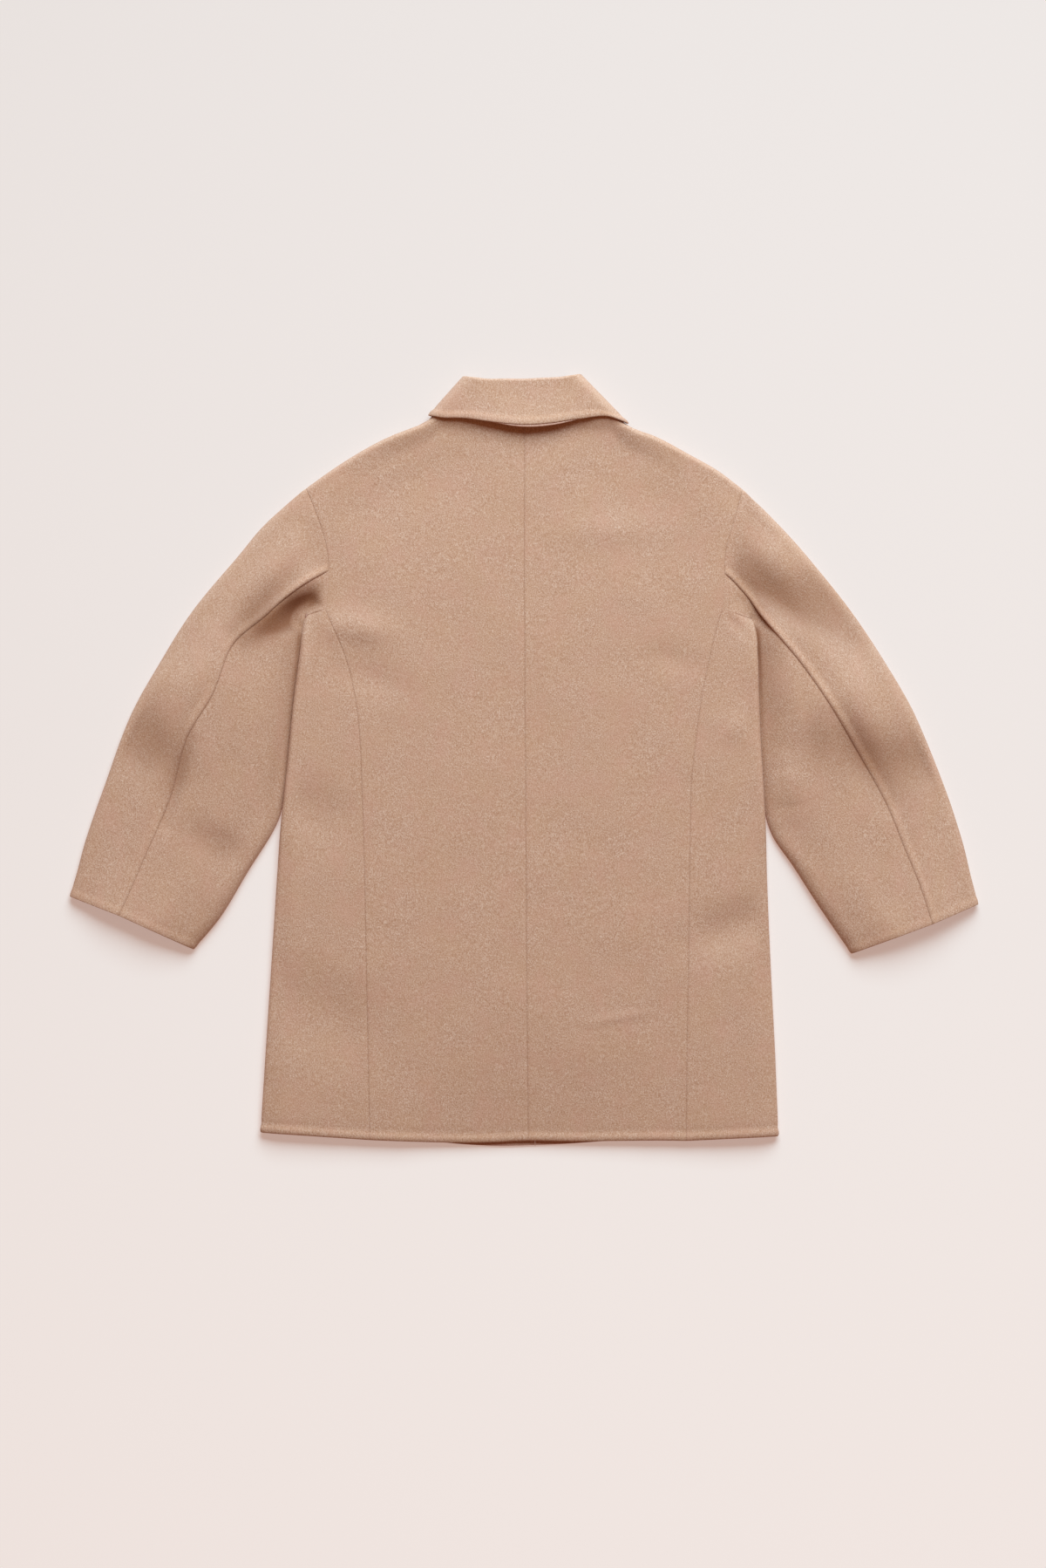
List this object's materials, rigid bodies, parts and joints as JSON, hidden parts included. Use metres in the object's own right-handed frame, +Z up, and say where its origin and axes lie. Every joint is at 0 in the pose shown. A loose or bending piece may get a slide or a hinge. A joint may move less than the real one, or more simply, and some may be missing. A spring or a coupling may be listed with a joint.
{
  "type": "reversible coat",
  "caption": "Felted double-face wool coat laid flat, back up: panelled body with rolled hem, two-piece sleeves set out to the sides and a fold-over collar.",
  "frame": {"origin": "middle of the coat's outline as it lies, on the table under it", "axes": "+X across the coat from the wearer's left sleeve to the right one, +Y from the hem to the collar, +Z up from the table"},
  "size_m": [1.0852, 0.9214, 0.028],
  "materials": {
    "wool": "brushed, felted double-face wool with a short nap"
  },
  "bodies": {
    "root": {"back_left": "wool", "back_right": "wool", "side_left": "wool", "side_right": "wool", "front_left": "wool", "front_right": "wool", "sleeve_upper_left": "wool", "sleeve_upper_right": "wool", "sleeve_under_left": "wool", "sleeve_under_right": "wool", "collar": "wool"}
  },
  "joints": []
}
